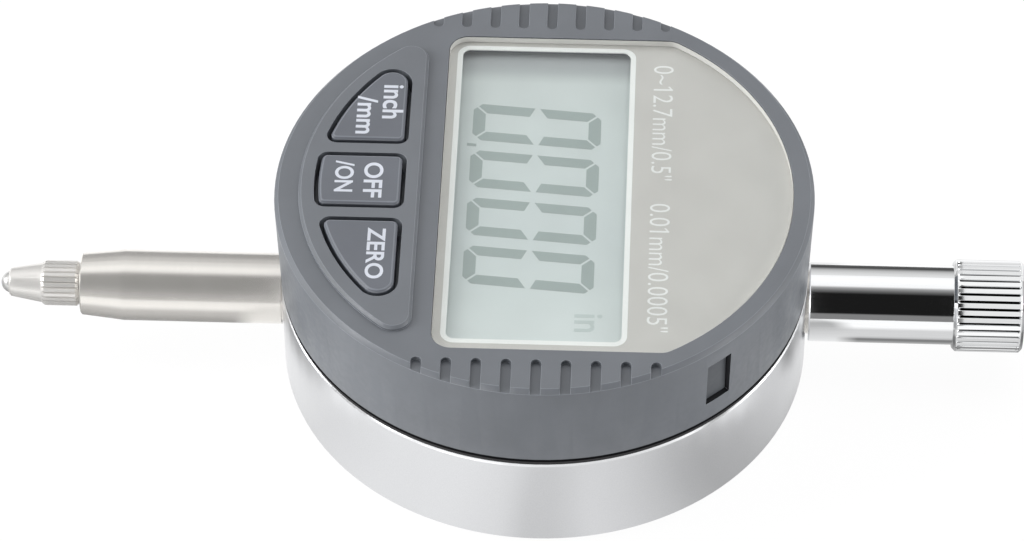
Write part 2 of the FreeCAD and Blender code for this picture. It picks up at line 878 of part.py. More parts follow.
def coil(radius, wire, length, turns, steps, sides):
    """Coil spring along +Z from the origin: a many-sided wire wound on a helix, closed at both ends."""
    rings = []
    climb = length / (2 * math.pi * turns)
    for i in range(turns * steps + 1):
        turn = 2 * math.pi * i / steps
        out = V(math.cos(turn), math.sin(turn), 0)
        along = V(-radius * math.sin(turn), radius * math.cos(turn), climb).normalize()
        up = along.cross(out)
        centre = out * radius + V(0, 0, climb * turn)
        corners = []
        for k in range(sides):
            bend = 2 * math.pi * k / sides
            corners.append(centre + out * (wire * math.cos(bend)) + up * (wire * math.sin(bend)))
        rings.append(corners)
    return skin(rings)


def return_spring():
    """Compression spring round the spindle, between the carriage and the upper bearing boss."""
    start = carriage_rear_y + spring_wire_radius + spring_end_gap
    end = boss_inner_y - spring_wire_radius - spring_end_gap
    spring = coil(spring_mean_radius, spring_wire_radius, end - start,
                  spring_turns, spring_steps, spring_sides)
    spring.rotate(V(0, 0, 0), V(1, 0, 0), -90)
    spring.translate(V(0, start, axis_height))
    return spring


def dust_tube():
    end = cap_start_y + tube_engagement
    return turned([
        (tube_start_y, tube_bore_radius),
        (tube_start_y, tube_radius - edge_break),
        (tube_start_y + edge_break, tube_radius),
        (end - end_chamfer, tube_radius),
        (end, tube_radius - end_chamfer),
        (end, tube_bore_radius),
    ])


def dust_cap():
    root = cap_radius - cap_knurl_depth
    end_radius = cap_radius - cap_chamfer
    knurl_start = cap_start_y + cap_chamfer
    knurl_end = cap_end_y - cap_chamfer
    solid = knurled_bar([
        (cap_start_y, end_radius, end_radius),
        (knurl_start, cap_radius, cap_radius),
        (knurl_start + cap_knurl_fade, cap_radius, root),
        (knurl_end - cap_knurl_fade, cap_radius, root),
        (knurl_end, cap_radius, cap_radius),
        (cap_end_y, end_radius, end_radius),
    ], cap_teeth)
    bore_end = cap_start_y + tube_engagement + cap_clearance
    solid = solid.cut(shaft(tube_radius + cap_clearance, cap_start_y, bore_end))
    solid = solid.cut(shaft(tube_bore_radius, cap_start_y, cap_roof_y))
    return solid.removeSplitter()


def build():
    return {
        "rear_housing": rear_housing(),
        "back_cover": back_cover(),
        "cover_screws": cover_screws(),
        "housing_screws": housing_screws(),
        "case_seal": case_seal(),
        "front_housing": front_housing(),
        "display_lens": display_lens(),
        "face_mask": face_mask(),
        "window_frame": window_frame(),
        "lcd_front_glass": lcd_front_glass(),
        "lcd_rear_glass": lcd_rear_glass(),
        "lcd_reflector": lcd_reflector(),
        "lcd_holder": lcd_holder(),
        "contact_strips": contact_strips(),
        "main_board": main_board(),
        "reader_board": reader_board(),
        "measuring_chip": measuring_chip(),
        "quartz_crystal": quartz_crystal(),
        "key_mat": key_mat(),
        "inch_mm_button": key("inch_mm"),
        "power_button": key("power"),
        "zero_button": key("zero"),
        "port_plug": port_plug(),
        "port_socket": port_socket(),
        "battery_lid": battery_lid(),
        "battery_seal": battery_seal(),
        "battery_holder": battery_holder(),
        "battery_cell": battery_cell(),
        "battery_contact": battery_contact(),
        "stem": stem(),
        "outer_bush": outer_bush(),
        "inner_bush": inner_bush(),
        "upper_bush": upper_bush(),
        "spindle": spindle(),
        "contact_point": contact_point(),
        "contact_ball": contact_ball(),
        "carriage": carriage(),
        "carriage_screw": carriage_screw(),
        "guide_pin": guide_pin(),
        "guide_rail": guide_rail(),
        "scale_plate": scale_plate(),
        "return_spring": return_spring(),
        "dust_tube": dust_tube(),
        "dust_cap": dust_cap(),
    }


os.makedirs("parts", exist_ok=True)
for name, shape in build().items():
    shape.exportStep("parts/" + name + ".step")
    print(name, len(shape.Solids), round(shape.Volume, 1), shape.isValid())
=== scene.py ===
import math
import bmesh
import bpy
from mathutils import Matrix, Vector


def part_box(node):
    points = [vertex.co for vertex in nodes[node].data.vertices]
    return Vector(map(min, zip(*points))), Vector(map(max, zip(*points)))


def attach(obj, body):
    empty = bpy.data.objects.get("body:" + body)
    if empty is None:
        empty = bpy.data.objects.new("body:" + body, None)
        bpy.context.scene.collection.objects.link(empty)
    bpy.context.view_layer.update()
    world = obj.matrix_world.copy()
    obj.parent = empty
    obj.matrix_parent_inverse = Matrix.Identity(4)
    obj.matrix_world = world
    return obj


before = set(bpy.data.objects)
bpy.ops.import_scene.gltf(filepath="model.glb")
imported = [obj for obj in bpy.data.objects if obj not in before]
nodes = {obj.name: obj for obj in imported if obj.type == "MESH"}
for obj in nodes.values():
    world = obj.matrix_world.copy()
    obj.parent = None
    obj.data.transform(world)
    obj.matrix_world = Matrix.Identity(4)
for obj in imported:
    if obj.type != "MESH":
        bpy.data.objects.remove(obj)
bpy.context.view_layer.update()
mm = 0.001


def newMaterial(name):
    made = bpy.data.materials.new(name)
    made.use_nodes = True
    made.node_tree.nodes.clear()
    return made


def addNode(tree, kind, settings=None, **sockets):  # an underscore stands for a space in a socket's name
    made = tree.nodes.new(kind)
    for key, value in (settings or {}).items():
        setattr(made, key, value)
    for key, value in sockets.items():
        made.inputs[key.replace("_", " ")].default_value = value
    return made


def feed(tree, made, sockets):  # sockets are (input, output of another node or plain value)
    for socket, value in sockets:
        if hasattr(value, "is_output"):
            tree.links.new(value, made.inputs[socket])
        else:
            made.inputs[socket].default_value = value


def calculate(tree, operation, *values):
    made = addNode(tree, "ShaderNodeMath", {"operation": operation})
    feed(tree, made, enumerate(values))
    return made.outputs[0]


def mixColour(tree, factor, first, second):
    made = addNode(tree, "ShaderNodeMix", {"data_type": "RGBA"})
    feed(tree, made, ((0, factor), (6, first), (7, second)))
    return made.outputs[2]


def mixShaders(tree, factor, first, second):
    made = addNode(tree, "ShaderNodeMixShader")
    feed(tree, made, enumerate((factor, first, second)))
    return made.outputs[0]


def srgb(red, green, blue):  # 0 to 255, as read from a picture
    linear = []
    for part in (red, green, blue):
        share = part / 255
        linear.append(share / 12.92 if share <= 0.04045 else ((share + 0.055) / 1.055) ** 2.4)
    return (*linear, 1.0)


def grey(level):
    return (level, level, level, 1.0)


def shaded(base, factor):
    return tuple(min(1.0, part * factor) for part in base[:3]) + (1.0,)


def splitAxes(tree, kind="Object"):  # X, Y and Z of the place, or of another texture coordinate
    where = addNode(tree, "ShaderNodeTexCoord")
    parts = addNode(tree, "ShaderNodeSeparateXYZ")
    tree.links.new(where.outputs[kind], parts.inputs[0])
    return parts.outputs


def noise(tree, scale, detail=3.0, stretch=(1, 1, 1)):
    where = addNode(tree, "ShaderNodeTexCoord")
    mapping = addNode(tree, "ShaderNodeMapping", Scale=stretch)
    tree.links.new(where.outputs["Object"], mapping.inputs["Vector"])
    made = addNode(tree, "ShaderNodeTexNoise", Scale=scale, Detail=detail)
    tree.links.new(mapping.outputs["Vector"], made.inputs["Vector"])
    return made.outputs["Fac"]


def spread(tree, source, low, high, fromLow=0.3, fromHigh=0.7):  # noise lies mostly between 0.3 and 0.7
    made = addNode(tree, "ShaderNodeMapRange", From_Min=fromLow, From_Max=fromHigh, To_Min=low, To_Max=high)
    tree.links.new(source, made.inputs["Value"])
    return made.outputs["Result"]


def colourRamp(tree, source, stops):  # stops are (place from 0 to 1, colour)
    made = addNode(tree, "ShaderNodeValToRGB")
    elements = made.color_ramp.elements
    elements[0].position, elements[0].color = stops[0]
    elements[1].position, elements[1].color = stops[-1]
    for place, colour in stops[1:-1]:
        elements.new(place).color = colour
    tree.links.new(source, made.inputs["Fac"])
    return made.outputs["Color"]


def bump(tree, height, strength, distance=0.02 * mm):
    made = addNode(tree, "ShaderNodeBump", Strength=strength, Distance=distance)
    tree.links.new(height, made.inputs["Height"])
    return made.outputs["Normal"]


def finishMaterial(made, shader):
    output = addNode(made.node_tree, "ShaderNodeOutputMaterial")
    made.node_tree.links.new(shader, output.inputs["Surface"])
    return made


def principled(made):
    return next(node for node in made.node_tree.nodes if node.bl_idname == "ShaderNodeBsdfPrincipled")


plasticNoise = {"cloud": (160, 4), "sheen": (1400, 3), "grain": (9000, 2)}  # scale and detail


def mouldedPlastic(name, colour, roughness=(0.36, 0.46), grain=0.06, cloudiness=0.05):
    made = newMaterial(name)
    tree = made.node_tree
    shader = addNode(tree, "ShaderNodeBsdfPrincipled")
    base = srgb(*colour)
    cloud = spread(tree, noise(tree, *plasticNoise["cloud"]), 0, 1)
    feed(tree, shader, (
        ("Base Color", mixColour(tree, cloud, shaded(base, 1 - cloudiness), shaded(base, 1 + cloudiness))),
        ("Roughness", spread(tree, noise(tree, *plasticNoise["sheen"]), *roughness)),
        ("Normal", bump(tree, noise(tree, *plasticNoise["grain"]), grain))))
    return finishMaterial(made, shader.outputs[0])


metalNoise = {"sheen": (500, 3), "sheenShare": 0.07, "grainDetail": 2}


def metal(name, colour, roughness, grain=0.05, fineness=7000, stretch=(1, 1, 1), contrast=0.05, body=1.0):
    made = newMaterial(name)
    tree = made.node_tree
    shader = addNode(tree, "ShaderNodeBsdfPrincipled", Metallic=body)
    base = srgb(*colour)
    grains = noise(tree, fineness, metalNoise["grainDetail"], stretch)
    lowest, highest = (roughness * (1 + sign * metalNoise["sheenShare"]) for sign in (-1, 1))
    feed(tree, shader, (
        ("Base Color", mixColour(tree, spread(tree, grains, 0, 1), shaded(base, 1 - contrast), base)),
        ("Roughness", spread(tree, noise(tree, *metalNoise["sheen"]), lowest, highest)),
        ("Normal", bump(tree, grains, grain))))
    return finishMaterial(made, shader.outputs[0])


capKnurl = {  # axis height and radii in mm: painted shade in the knurl's grooves, dark up to root, bright from unshaded on
    "metal": ((240, 241, 242), 0.06, 0.0, 300, (1, 1, 1), 0.03), "dark": 0.02,
    "axis": 8.0, "root": 4.9, "unshaded": 5.05,
    "ends": (0.5, 0.8),  # the flat ends, with the normal this much along Y, stay bright
}


def knurledChrome(name, knurl):
    made = metal(name, *knurl["metal"])
    tree = made.node_tree
    where = addNode(tree, "ShaderNodeTexCoord")
    flat = addNode(tree, "ShaderNodeMapping", Location=(0, 0, -knurl["axis"] * mm), Scale=(1, 0, 1))
    tree.links.new(where.outputs["Object"], flat.inputs["Vector"])
    reach = addNode(tree, "ShaderNodeVectorMath", {"operation": "LENGTH"})
    tree.links.new(flat.outputs["Vector"], reach.inputs[0])
    # painted shade: inside the root radius the grooves take the dark colour, standing for the shade in them
    unshaded = spread(tree, reach.outputs["Value"], 0, 1, knurl["root"] * mm, knurl["unshaded"] * mm)
    lengthwise = calculate(tree, "ABSOLUTE", splitAxes(tree, "Normal")["Y"])
    bright = calculate(tree, "MAXIMUM", unshaded, spread(tree, lengthwise, 0, 1, *knurl["ends"]))
    base = principled(made).inputs["Base Color"]
    tree.links.new(mixColour(tree, bright, grey(knurl["dark"]), base.links[0].from_socket), base)
    return made


lensSheet = {"tint": (250, 251, 251), "clear": (252, 253, 253), "cloud": (200, 3), "roughness": 0.02,
             "gloss": 0.03}


def clearSheet(name, sheet):
    made = newMaterial(name)
    tree = made.node_tree
    through = addNode(tree, "ShaderNodeBsdfTransparent")
    cloud = spread(tree, noise(tree, *sheet["cloud"]), 0, 1)
    tint = mixColour(tree, cloud, srgb(*sheet["tint"]), srgb(*sheet["clear"]))
    tree.links.new(tint, through.inputs["Color"])
    mirror = addNode(tree, "ShaderNodeBsdfGlossy", Color=(1, 1, 1, 1), Roughness=sheet["roughness"])
    return finishMaterial(made, mixShaders(tree, sheet["gloss"], through.outputs[0], mirror.outputs[0]))


displayColourAndShade = {"from": -22.5, "to": 22.5, "sheen": (400, 3), "roughness": (0.38, 0.46), "specular": 0.3,
               "stops": [  # X in mm and colour across the display: darker along the far edge, a painted shade, and lighter towards the near edge
                   (-22.5, (172, 176, 177)), (-20.9, (172, 176, 177)), (-20.1, (178, 184, 184)),
                   (-19.0, (198, 205, 203)), (-18.2, (207, 214, 212)), (-10.0, (210, 218, 216)),
                   (5.0, (208, 216, 215)), (15.0, (213, 221, 219)), (22.5, (222, 229, 227))]}


# the display's pale colour ramps along X, with painted shade along its far edge
def displayFace(name, tint):
    made = newMaterial(name)
    tree = made.node_tree
    shader = addNode(tree, "ShaderNodeBsdfPrincipled", Specular_IOR_Level=tint["specular"])
    across = spread(tree, splitAxes(tree)["X"], 0, 1, tint["from"] * mm, tint["to"] * mm)
    span = tint["to"] - tint["from"]
    stops = [((x - tint["from"]) / span, srgb(*colour)) for x, colour in tint["stops"]]
    feed(tree, shader, (
        ("Base Color", colourRamp(tree, across, stops)),
        ("Roughness", spread(tree, noise(tree, *tint["sheen"]), *tint["roughness"]))))
    return finishMaterial(made, shader.outputs[0])


plastics = {  # colour, lowest and highest roughness, grain and cloudiness
    "frontGrey": ((110, 114, 120),),
    "keyGrey": ((102, 106, 114), (0.34, 0.42)),
    "plugGrey": ((84, 88, 93), (0.45, 0.55)),
    "blackRubber": ((24, 24, 26), (0.55, 0.7)),
    "matGrey": ((90, 92, 95), (0.6, 0.7)),
    "blackResin": ((34, 34, 36), (0.4, 0.5)),
    "whitePlastic": ((222, 222, 217), (0.4, 0.5)),
    "boardGreen": ((28, 92, 54), (0.25, 0.35)),
    "scaleCoat": ((70, 76, 82), (0.1, 0.16)),
    "silverPrint": ((202, 199, 194), (0.30, 0.36), 0.02, 0.01),
    "framePrint": ((247, 248, 245), (0.4, 0.5), 0.02, 0.01),
    "reflectorFilm": ((206, 216, 212), (0.5, 0.6), 0.02),
    "rearGlass": ((176, 190, 186), (0.1, 0.16), 0.01),
    "legendPrint": ((214, 218, 228), (0.5, 0.6), 0.02),
    "rangePrint": ((240, 240, 238), (0.5, 0.6), 0.02, 0.01),
    "segmentInk": ((160, 172, 169), (0.5, 0.6), 0.02, 0.02),
    "faintInk": ((196, 207, 204), (0.5, 0.6), 0.02, 0.02),
    "portShade": ((34, 35, 38), (0.5, 0.6)),
    # pale opaque colour for the lens's edge faces: painted reflection of the mask and painted edge highlight
    "lensRimReflection": ((232, 230, 226), (0.3, 0.4), 0.02, 0.02),
    # lighter colours for the bevels: painted highlight along the edges, partly edge wear
    "frontEdgeHighlight": ((134, 138, 144), (0.28, 0.36), 0.04),
    "keyEdgeHighlight": ((126, 130, 138), (0.28, 0.36), 0.04),
}
metals = {  # colour, roughness, grain, its fineness and stretch, contrast and metallic share
    "satinAluminium": ((228, 229, 231), 0.30, 0.06),
    "groundSteel": ((234, 231, 226), 0.2, 0.012, 6000, (0.05, 1, 0.05), 0.03, 0.75),
    "paleSteel": ((228, 226, 223), 0.3, 0.03, 7000, (1, 1, 1), 0.03, 0.5),
    "brightSteel": ((205, 204, 202), 0.2, 0.03),
    "blackSteel": ((60, 60, 63), 0.4),
    "brass": ((214, 180, 110), 0.25),
    "carbide": ((214, 214, 213), 0.3, 0.02, 7000, (1, 1, 1), 0.03, 0.7),
    "chrome": ((240, 241, 242), 0.06, 0.02, 6000, (1, 0.06, 1), 0.03),
}
finishes = {name: mouldedPlastic(name, *settings) for name, settings in plastics.items()}
finishes.update({name: metal(name, *settings) for name, settings in metals.items()})
finishes["displayPale"] = displayFace("displayPale", displayColourAndShade)
finishes["knurledChrome"] = knurledChrome("knurledChrome", capKnurl)
finishes["lensClear"] = clearSheet("lensClear", lensSheet)

nodeFinish = {
    "frontGrey": ["front_housing"],
    "keyGrey": ["inch_mm_button", "power_button", "zero_button"],
    "plugGrey": ["port_plug"],
    "blackRubber": ["case_seal", "battery_seal", "contact_strips"],
    "matGrey": ["key_mat"],
    "blackResin": ["measuring_chip", "port_socket", "battery_holder"],
    "whitePlastic": ["lcd_holder"],
    "boardGreen": ["main_board", "reader_board"],
    "scaleCoat": ["scale_plate"],
    "silverPrint": ["face_mask"],
    "framePrint": ["window_frame"],
    "reflectorFilm": ["lcd_reflector"],
    "rearGlass": ["lcd_rear_glass"],
    "displayPale": ["lcd_front_glass"],
    "lensClear": ["display_lens"],
    "satinAluminium": ["rear_housing", "back_cover", "battery_lid"],
    "groundSteel": ["stem", "spindle", "outer_bush", "upper_bush", "guide_pin", "guide_rail"],
    "paleSteel": ["contact_point"],
    "brightSteel": ["quartz_crystal", "battery_cell", "return_spring", "cover_screws", "housing_screws"],
    "blackSteel": ["carriage_screw"],
    "brass": ["battery_contact", "inner_bush", "carriage"],
    "carbide": ["contact_ball"],
    "chrome": ["dust_tube"],
    "knurledChrome": ["dust_cap"],
}
for finishName, nodeNames in nodeFinish.items():
    for nodeName in nodeNames:
        mesh = nodes[nodeName].data
        mesh.materials.clear()
        mesh.materials.append(finishes[finishName])

sealShade = {"top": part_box("case_seal")[1].z / mm + 0.42, "blur": 0.04, "dark": (22, 22, 24), "specular": 0.5}


def shadeFoot(made, shade):  # the wall's lowest edge lies in the shade of the seal's groove
    tree = made.node_tree
    height = splitAxes(tree)["Z"]
    edge = [(shade["top"] + sign * shade["blur"]) * mm for sign in (-1, 1)]
    shader = principled(made)
    bright = shader.inputs["Base Color"].links[0].from_socket
    feed(tree, shader, (
        ("Base Color", mixColour(tree, spread(tree, height, 0, 1, *edge), srgb(*shade["dark"]), bright)),
        ("Specular IOR Level", spread(tree, height, 0, shade["specular"], *edge))))


for finishName in ("frontGrey", "frontEdgeHighlight"):
    shadeFoot(finishes[finishName], sealShade)
print("finishes set on", sum(len(nodeNames) for nodeNames in nodeFinish.values()), "nodes")

softEdges = {  # bevel width in mm, edge angle from which it applies, and finish of the edge: a lighter colour, a painted highlight and partly edge wear
    "front_housing": (0.13, 35, "frontEdgeHighlight"), "inch_mm_button": (0.13, 35, "keyEdgeHighlight"),
    "power_button": (0.13, 35, "keyEdgeHighlight"), "zero_button": (0.13, 35, "keyEdgeHighlight"), "port_plug": (0.08, 35, None),
    "dust_cap": (0.24, 25, None), "contact_point": (0.07, 25, None), "rear_housing": (0.05, 30, None),
}
modelling = {"weld": 0.002 * mm, "flat": math.radians(1.0), "bevelSteps": 3}


def addModifier(node, name, kind, **settings):
    made = node.modifiers.new(name, kind)
    for key, value in settings.items():
        setattr(made, key, value)


def softenEdges(node, width, angle, highlightAndWear):
    # the bevel takes the lighter finish, a painted edge highlight
    if highlightAndWear:
        node.data.materials.append(finishes[highlightAndWear])
    addModifier(node, "weld", "WELD", merge_threshold=modelling["weld"])
    addModifier(node, "flatten", "DECIMATE", decimate_type="DISSOLVE", angle_limit=modelling["flat"])
    addModifier(node, "soften", "BEVEL", width=width * mm, segments=modelling["bevelSteps"],
                limit_method="ANGLE", angle_limit=math.radians(angle), harden_normals=True,
                material=1 if highlightAndWear else -1)


for nodeName, (width, angle, highlightAndWear) in softEdges.items():
    softenEdges(nodes[nodeName], width, angle, highlightAndWear)
print("edges softened on", len(softEdges), "nodes")

portWall = {"margin": (0.6, 0.6, 0.3), "outwards": 0.4}  # reach round the plug in mm, and least slant inwards


def shadePort(mesh, wall):
    mesh.materials.append(finishes["portShade"])
    low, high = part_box("port_plug")
    margin = Vector(wall["margin"]) * mm
    for polygon in mesh.polygons:
        place = polygon.center
        inside = all(low[i] - margin[i] < place[i] < high[i] + margin[i] for i in range(3))
        outward = Vector((place.x, place.y, 0)).normalized()
        if inside and abs(polygon.normal.dot(outward)) < wall["outwards"]:
            polygon.material_index = len(mesh.materials) - 1


lensEdge = {"upright": 0.5, "airGap": 0.03}  # normal's Z below which a face is the edge, and gap in mm


def finishLens(lens, edge):
    # painted reflection: the upright edge faces of the clear lens take a pale opaque colour
    lens.data.materials.append(finishes["lensRimReflection"])
    for polygon in lens.data.polygons:
        polygon.material_index = 1 if abs(polygon.normal.z) < edge["upright"] else 0
    addModifier(lens, "weld", "WELD", merge_threshold=modelling["weld"])
    addModifier(lens, "airGap", "DISPLACE", mid_level=0.0, strength=-edge["airGap"] * mm)  # off the print below


shadePort(nodes["front_housing"].data, portWall)
finishLens(nodes["display_lens"], lensEdge)
print("port and lens finished")


def addObject(name, data):
    made = bpy.data.objects.new(name, data)
    bpy.context.scene.collection.objects.link(made)
    return made


def endMesh(made, name):
    mesh = bpy.data.meshes.new(name)
    made.to_mesh(mesh)
    made.free()
    return mesh


def meshPiece(name, mesh, finish, body):
    made = addObject(name, mesh)
    mesh.materials.clear()
    mesh.materials.append(finishes[finish])
    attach(made, body)
    return made


def printedWords(name, words, place, finish, body, thick=0.02):
    left, base, height, length, z, weight = place
    curve = bpy.data.curves.new(name + "Line", "FONT")
    curve.body = words
    curve.size = 1.0
    curve.offset = weight
    curve.extrude = 0.5
    shape = addObject(name + "Line", curve)
    bpy.context.view_layer.update()
    mesh = bpy.data.meshes.new_from_object(shape)
    bpy.data.objects.remove(shape)
    xs = [v.co.x for v in mesh.vertices]
    ys = [v.co.y for v in mesh.vertices]
    scale = (length * mm / (max(xs) - min(xs)), height * mm / (max(ys) - min(ys)), thick * mm, 1)
    fromCorner = Matrix.Translation((-min(xs), -min(ys), 0))
    toPlace = Matrix.Translation(Vector((left, base, z + thick / 2)) * mm)
    mesh.transform(toPlace @ Matrix.Diagonal(scale) @ fromCorner)
    mesh.name = name
    return meshPiece(name, mesh, finish, body)


printSink = 0.012  # how deep the foot of a printed word lies, in mm
legends = {  # words, left end, base line, height, length in mm and body
    "inchWords": ("inch", -14.85, -18.5, 2.36, 5.25, "inch_mm_key"),
    "slashMmWords": ("/mm", -13.05, -21.34, 2.3, 5.9, "inch_mm_key"),
    "offWords": ("OFF", -2.72, -19.98, 2.13, 5.34, "power_key"),
    "slashOnWords": ("/ON", -2.92, -23.19, 2.09, 4.74, "power_key"),
    "zeroWords": ("ZERO", 7.15, -19.08, 2.02, 7.59, "zero_key"),
}
legendWeight = 0.02
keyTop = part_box("power_button")[1].z / mm - printSink
for pieceName, (words, left, base, height, length, body) in legends.items():
    printedWords(pieceName, words, (left, base, height, length, keyTop, legendWeight), "legendPrint",
                 body)

ranges = {  # words, left end, base line, height and length in mm
    "rangeWords": ("0~12.7mm/0.5\"", -20.6, 11.7, 2.3, 17.9),
    "stepWords": ("0.01mm/0.0005\"", 0.92, 11.7, 2.3, 19.1),
}
rangeWeight = -0.006
rangeThickness = 0.02
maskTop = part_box("face_mask")[1].z / mm - printSink
figureFlag = {  # in mm: widest and lowest bar that is a figure 1, and the flag from the bar's top left corner
    "widest": 0.35, "lowest": 1.2, "outline": ((0.1, 0), (-0.4, -0.36), (-0.4, -0.58), (0.1, -0.22))}


def separateShapes(made):
    left = set(made.verts)
    while left:
        queue = [left.pop()]
        shape = list(queue)
        while queue:
            for edge in queue.pop().link_edges:
                for vert in edge.verts:
                    if vert in left:
                        left.remove(vert)
                        queue.append(vert)
                        shape.append(vert)
        yield shape


def addFlags(mesh, flag, z, thick):  # the font's figure 1 is a bar alone, the printed one has a flag
    made = bmesh.new()
    made.from_mesh(mesh)
    corners = set()
    for shape in separateShapes(made):
        low, high = (Vector([pick(v.co[i] for v in shape) for i in range(2)]) / mm for pick in (min, max))
        if high.x - low.x < flag["widest"] and high.y - low.y > flag["lowest"]:
            corners.add((round(low.x, 2), round(high.y, 2)))
    for cornerX, cornerY in sorted(corners):
        rows = [[made.verts.new(((cornerX + x) * mm, (cornerY + y) * mm, level * mm)) for x, y in flag["outline"]]
                for level in (z, z + thick)]
        made.faces.new(rows[0])
        made.faces.new(rows[1])
        for i in range(len(flag["outline"])):
            made.faces.new([rows[0][i - 1], rows[0][i], rows[1][i], rows[1][i - 1]])
    bmesh.ops.recalc_face_normals(made, faces=made.faces)
    made.to_mesh(mesh)
    made.free()


for pieceName, (words, left, base, height, length) in ranges.items():
    printed = printedWords(pieceName, words, (left, base, height, length, maskTop, rangeWeight), "rangePrint",
                           "case", rangeThickness)
    addFlags(printed.data, figureFlag, maskTop, rangeThickness)
print("legends placed")

digits = {"count": 4, "left": -14.84, "pitch": 7.28, "fall": 0.05, "low": -8.42, "height": 14.37,
          "width": 5.66, "bar": 1.38, "corner": 0.4, "mitreGap": 0.36, "waist": 0.26, "slant": 0.086,
          "points": ((0.88, 0.6), (0.58, 0.86)),  # slopes at the waist: left bars up, down, then right bars
          "thick": 0.01}
pointCorners = ((-8.62, -8.95), (-8.2, -8.95), (-8.1, -7.9), (-8.52, -7.9))
unitPlace = {"left": 16.85, "base": 3.85, "height": 3.05, "length": 2.6, "weight": 0.012}


def digitBars(digit, left, low):  # the six outer bars of a seven-bar nought
    half, gap = digit["height"] / 2, digit["mitreGap"] / 2
    width, bar, corner, waist = (digit[key] for key in ("width", "bar", "corner", "waist"))
    top = [(corner + gap, half - corner), (2 * corner + gap, half), (width - 2 * corner - gap, half),
           (width - corner - gap, half - corner), (width - bar - gap, half - bar), (bar + gap, half - bar)]
    bars = []
    for row, up in enumerate((1, -1)):
        bars.append([(x, up * y) for x, y in top])
        for side, points in enumerate(digit["points"]):
            upright = [(0, waist), (bar, waist + points[row]), (bar, half - bar - gap),
                       (corner, half - corner - gap), (0, half - 2 * corner - gap)]
            bars.append([(width - x if side else x, up * y) for x, y in upright])
    return [[Vector((left + x + (y + half) * digit["slant"], low + half + y)) for x, y in outline]
            for outline in bars]


def flatMesh(name, outlines, z, thick):
    made = bmesh.new()
    for outline in outlines:
        face = made.faces.new([made.verts.new((p.x * mm, p.y * mm, z * mm)) for p in outline])
        grown = bmesh.ops.extrude_face_region(made, geom=[face])
        for item in grown["geom"]:
            if isinstance(item, bmesh.types.BMVert):
                item.co.z += thick * mm
    bmesh.ops.recalc_face_normals(made, faces=made.faces)
    return endMesh(made, name)


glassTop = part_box("lcd_front_glass")[1].z / mm + 0.005
outlines = []
for i in range(digits["count"]):
    outlines += digitBars(digits, digits["left"] + i * digits["pitch"], digits["low"] - i * digits["fall"])
outlines.append([Vector(corner) for corner in pointCorners])
segments = flatMesh("digitSegments", outlines, glassTop, digits["thick"])
meshPiece("digitSegments", segments, "segmentInk", "case")
left, base, height, length, weight = unitPlace.values()
printedWords("unitWords", "in", (left, base, height, length, glassTop, weight), "faintInk", "case",
             digits["thick"])
print("display drawn")

viewpoint = {"azimuth": 92.5363, "elevation": 47.1433, "roll": -0.4348, "lens": 189.83,
             "place": (411.626, 14.587, 455.987)}


def addCamera(view):
    az, el, roll = (math.radians(view[key]) for key in ("azimuth", "elevation", "roll"))
    forward = Vector((-math.sin(az) * math.cos(el), math.cos(az) * math.cos(el), -math.sin(el)))
    right = Vector((math.cos(az), math.sin(az), 0))
    up = right.cross(forward)
    tiltedRight = right * math.cos(roll) + up * math.sin(roll)
    tiltedUp = up * math.cos(roll) - right * math.sin(roll)
    data = bpy.data.cameras.new("photoCamera")
    data.sensor_width = 36
    data.lens = view["lens"]
    data.clip_start = 0.01
    made = addObject("photoCamera", data)
    turn = Matrix((tiltedRight, tiltedUp, -forward)).transposed().to_4x4()
    made.matrix_world = Matrix.Translation(Vector(view["place"]) * mm) @ turn
    bpy.context.scene.camera = made


addCamera(viewpoint)

lamps = {  # place and size in metres, power in watts
    "left": ((0.05, -0.55, 0.25), 0.3, 2.26),
    "right": ((0.1, 0.6, 0.15), 0.3, 1.32),
    "front": ((0.55, -0.25, 0.12), 0.3, 1.03),
}


def addLamp(name, place, size, power):
    data = bpy.data.lights.new(name, "AREA")
    data.shape = "RECTANGLE"
    data.size = data.size_y = size
    data.energy = power
    made = addObject(name, data)
    made.location = place
    made.rotation_mode = "QUATERNION"
    made.rotation_quaternion = (-Vector(place)).to_track_quat("-Z", "Y")


for lampName, (place, size, power) in lamps.items():
    addLamp(lampName, place, size, power)


def turnPlace(turn):  # place on a ramp of an angle in degrees
    return 0.5 + turn / 360


def radialPlace(tree, first, second):  # angle from the first axis to the second, 0 to 1 with 0.5 on the first
    joined = addNode(tree, "ShaderNodeCombineXYZ")
    tree.links.new(first, joined.inputs["X"])
    tree.links.new(second, joined.inputs["Y"])
    made = addNode(tree, "ShaderNodeTexGradient", {"gradient_type": "RADIAL"})
    tree.links.new(joined.outputs[0], made.inputs["Vector"])
    return made.outputs["Fac"]


room = {  # brightness of the room by angle in degrees from +X over the top to -X
    "seen": [(-180, 0.9), (0, 0.6), (15, 0.9), (60, 1.0), (133, 1.05), (160, 0.8), (180, 0.6)],  # in the metals
    "lit": [(-180, 1.258), (0, 0.463), (16, 0.019), (75, 0.019), (90, 0.629), (96, 1.573), (130, 1.48),
            (156, 0.814), (180, 0.185)],
}


def paintWorld(levels):
    world = bpy.data.worlds.new("paleRoom")
    bpy.context.scene.world = world
    world.use_nodes = True
    tree = world.node_tree
    tree.nodes.clear()
    rays = addNode(tree, "ShaderNodeLightPath").outputs
    parts = splitAxes(tree, "Generated")
    angle = radialPlace(tree, parts["X"], parts["Z"])
    mirrored, lighting = (colourRamp(tree, angle, [(turnPlace(turn), grey(level)) for turn, level in levels[use]])
                          for use in ("seen", "lit"))
    clear = calculate(tree, "MAXIMUM", rays["Is Camera Ray"], rays["Is Transmission Ray"])
    lit = mixColour(tree, rays["Is Glossy Ray"], lighting, mirrored)
    back = addNode(tree, "ShaderNodeBackground", Strength=1.0)
    tree.links.new(mixColour(tree, clear, lit, grey(1.0)), back.inputs["Color"])
    output = addNode(tree, "ShaderNodeOutputWorld")
    tree.links.new(back.outputs[0], output.inputs["Surface"])


paintWorld(room)

